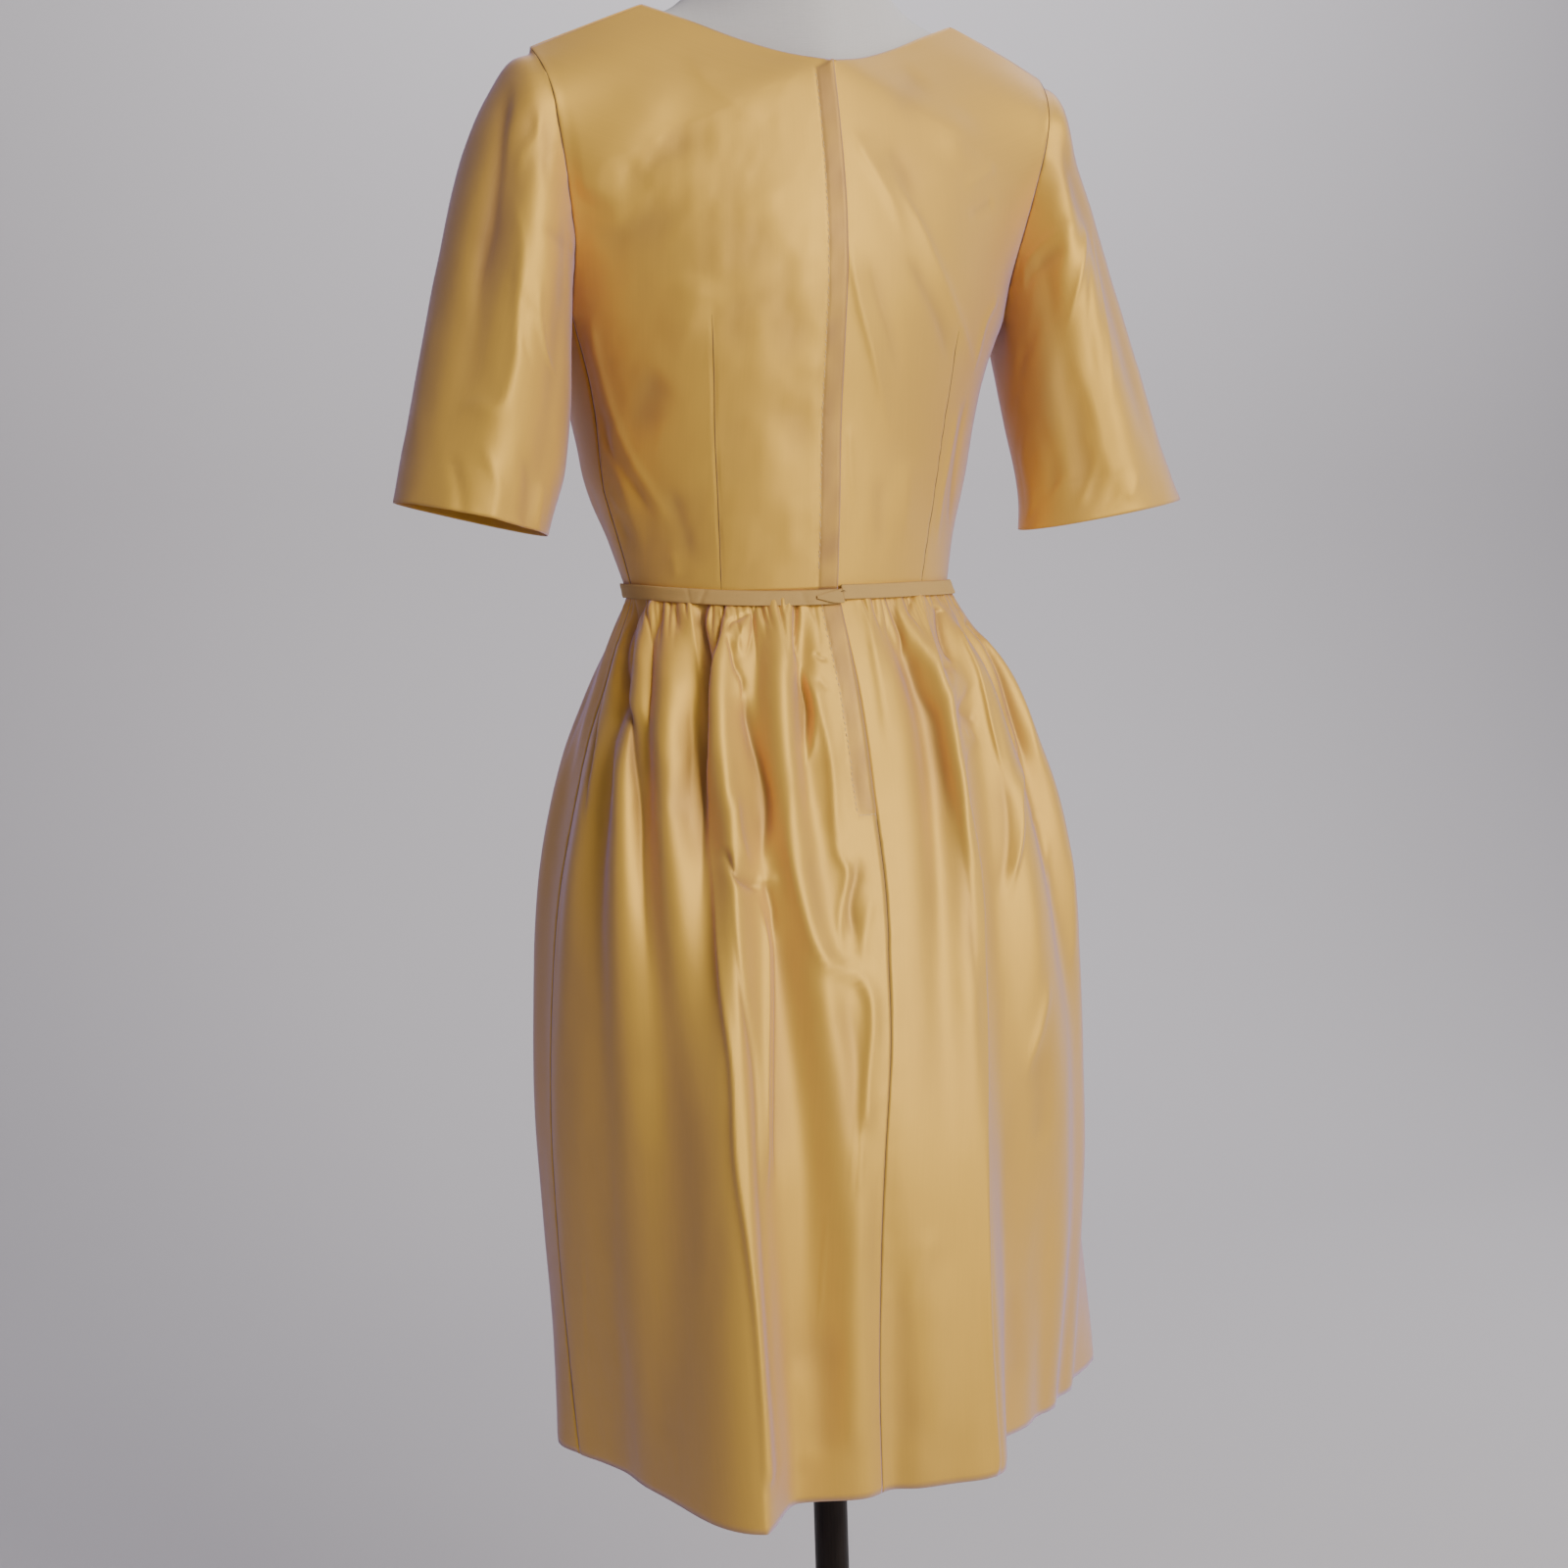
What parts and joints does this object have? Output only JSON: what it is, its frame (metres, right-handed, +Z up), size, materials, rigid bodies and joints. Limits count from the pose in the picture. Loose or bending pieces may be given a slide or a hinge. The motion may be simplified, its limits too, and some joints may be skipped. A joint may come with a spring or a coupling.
{
  "type": "cocktail dress on limbless dress form",
  "caption": "Fitted satin cocktail dress with elbow sleeves, belted waist, lapped back zip and gathered knee skirt, on a limbless dress form with a pole and round base.",
  "frame": {"origin": "on the floor, under the middle of the dress form's pole", "axes": "+Z up, the dress's front faces -Y and its back faces +Y, +X is the wearer's left"},
  "size_m": [0.601, 0.38, 1.5503],
  "materials": {
    "dress_satin": "gold satin with a pale lilac shot sheen",
    "belt_cloth": "matt khaki gold, flat",
    "zip_cloth": "woven tape, matt",
    "form_linen": "off-white linen cover",
    "form_wood": "dark varnish",
    "form_metal": "dark brown, worn"
  },
  "bodies": {
    "root": {"bodice_front": "dress_satin", "bodice_back_left": "dress_satin", "bodice_back_right": "dress_satin", "sleeve_left": "dress_satin", "sleeve_right": "dress_satin", "skirt_front": "dress_satin", "skirt_back_left": "dress_satin", "skirt_back_right": "dress_satin", "belt_band": "belt_cloth", "belt_end": "belt_cloth", "zip_tape": "zip_cloth", "form_torso": "form_linen", "form_neck_cap": "form_wood", "form_underside": "form_wood", "form_collar": "form_metal", "form_pole": "form_metal", "form_base": "form_metal"}
  },
  "joints": []
}
